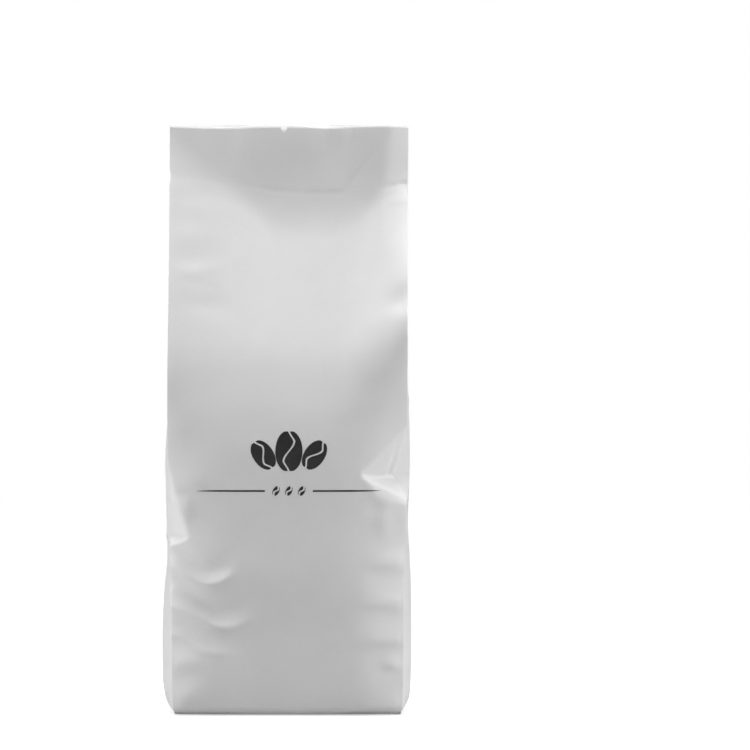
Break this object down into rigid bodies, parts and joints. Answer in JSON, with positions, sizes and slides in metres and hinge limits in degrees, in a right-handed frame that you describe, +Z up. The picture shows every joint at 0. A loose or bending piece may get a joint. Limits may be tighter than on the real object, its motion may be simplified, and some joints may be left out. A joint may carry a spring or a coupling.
{
  "type": "coffee bag",
  "caption": "Filled side-gusset coffee bag standing on its flattened base, with a closed wedge top, folded gussets, back fin seam and tear notch.",
  "frame": {"origin": "middle of the flat base that the bag stands on", "axes": "+Z up to the closed top edge, -Y out of the front panel, X across the front panel from gusset to gusset"},
  "size_m": [0.1484, 0.1075, 0.347],
  "materials": {
    "film": "matte cool-white laminated packaging film with a soft sheen"
  },
  "bodies": {
    "root": {"bag": "film"}
  },
  "joints": []
}
